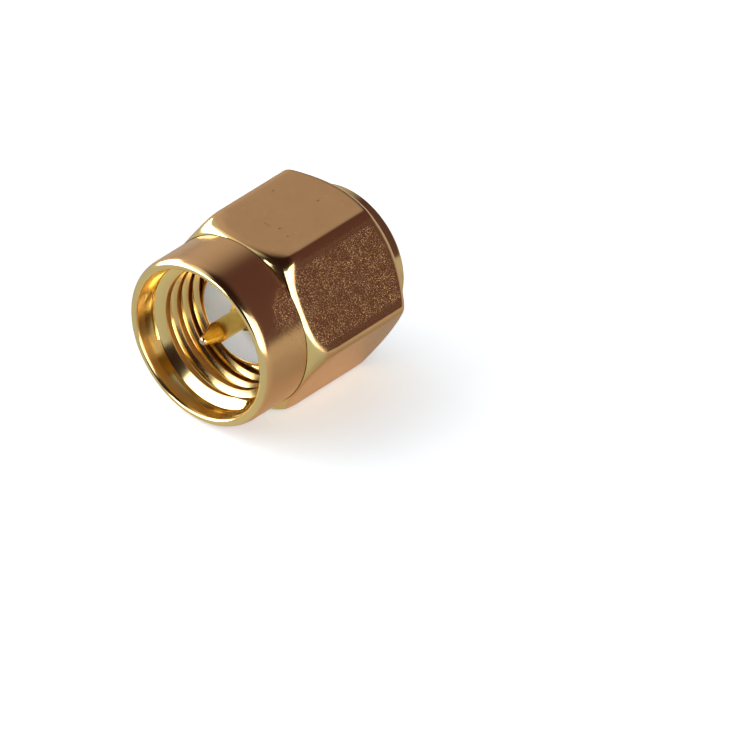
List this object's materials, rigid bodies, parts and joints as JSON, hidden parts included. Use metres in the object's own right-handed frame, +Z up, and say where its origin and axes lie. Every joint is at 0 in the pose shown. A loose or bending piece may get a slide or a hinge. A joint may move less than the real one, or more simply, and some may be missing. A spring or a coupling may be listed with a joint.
{
  "type": "coaxial adapter",
  "caption": "Straight coaxial adapter: an SMA plug with a free-spinning hex coupling nut on one end, a miniature push-on jack on the other.",
  "frame": {"origin": "on the common axis at the plug's reference plane, the front of the white insulator, where the centre pin leaves it", "axes": "+Y along the common axis from the plug's mouth to the jack; +Z up, square to the two nut flats that are level, the lower of which the adapter lies on; +X to a hexagon corner"},
  "size_m": [0.0092, 0.011, 0.008],
  "materials": {
    "nut_gold": "gold plated, satin outside and bright inside",
    "body_gold": "gold plated, bright turned",
    "ring_bronze": "plain phosphor bronze",
    "white_ptfe": "machined white PTFE",
    "contact_gold": "gold plated, polished",
    "cap_gold": "gold plated, bright turned"
  },
  "bodies": {
    "connector_body": {"main_body": "body_gold", "retaining_ring": "ring_bronze", "front_insulator": "white_ptfe", "centre_contact": "contact_gold", "jack_cap": "cap_gold", "jack_insulator": "white_ptfe"},
    "nut": {"coupling_nut": "nut_gold"}
  },
  "joints": [
    {"name": "nut_spin", "type": "hinge", "parent": "connector_body", "child": "nut", "pos_m": [0, 0, 0], "axis": [0, 1, 0], "continuous": true}
  ]
}
